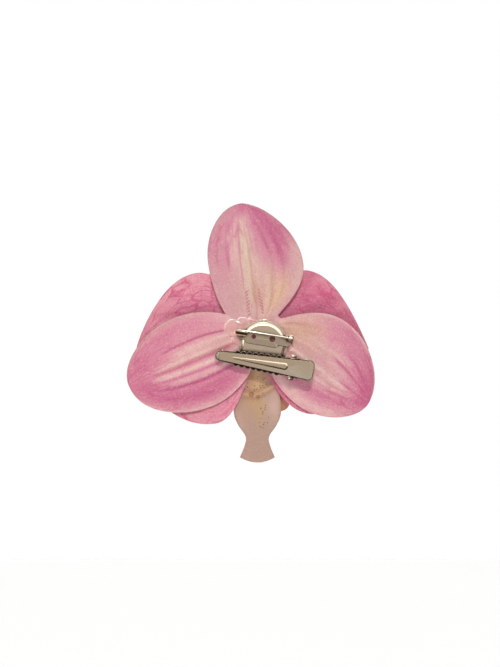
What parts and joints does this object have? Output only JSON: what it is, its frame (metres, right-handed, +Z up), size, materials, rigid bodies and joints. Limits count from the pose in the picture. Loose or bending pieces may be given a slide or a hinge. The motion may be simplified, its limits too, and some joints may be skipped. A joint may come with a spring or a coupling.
{
  "type": "flower hair clip",
  "caption": "Moulded orchid-style flower on a round metal finding that carries a sprung alligator clip and a brooch bar with a hinged needle.",
  "frame": {"origin": "middle of the alligator clip's bite line, where its two jaws meet", "axes": "+Z up the flower, +Y out of the flower's face, -Y out of its back, where the metal finding is, +X to the right seen from the back"},
  "size_m": [0.1049, 0.0252, 0.1097],
  "materials": {
    "sepal": "soft moulded latex, pink with cream bands and raised veins",
    "petal": "soft moulded latex, deep pink with branching veins",
    "lip": "soft moulded latex, beige pink with tan and brown speckles",
    "side_lobe": "soft moulded latex, orange brown with dark red spots",
    "column": "moulded plastic, pale pink",
    "anther": "moulded plastic, cream",
    "washer": "moulded nylon, translucent white",
    "glue": "clear hot-melt glue, glossy",
    "plated_steel": "nickel-plated pressed steel, slightly worn",
    "clip_steel": "nickel-plated spring steel",
    "bright_wire": "bright drawn wire"
  },
  "bodies": {
    "root": {"sepal_sheet": "sepal", "petal_sheet": "petal", "lip_blade": "lip", "lip_side_lobes": "side_lobe", "column": "column", "anther_cap": "anther", "retaining_washer": "washer", "glue_pad": "glue", "glue_bead": "glue", "disc_plate": "plated_steel", "pin_bar": "plated_steel", "needle_rivet": "bright_wire", "clip_lower_jaw": "clip_steel", "clip_pivot_pin": "bright_wire", "clip_spring": "bright_wire", "clip_rivet": "plated_steel"},
    "lever": {"clip_lever": "clip_steel"},
    "needle": {"pin_needle": "bright_wire"}
  },
  "joints": [
    {"name": "clip_lever_hinge", "type": "hinge", "parent": "root", "child": "lever", "pos_m": [0.01331, -0.001, -0.00223], "axis": [0.165, 0, 0.9863], "range_deg": [0, 25], "stiffness_Nm_per_rad": 0.06, "springref_deg": -28.65, "deforming": ["clip_spring"]},
    {"name": "needle_swing", "type": "hinge", "parent": "root", "child": "needle", "pos_m": [0.01273, 0.0009, 0.01004], "axis": [0.1352, 0.5736, 0.8079], "range_deg": [0, 70]}
  ]
}
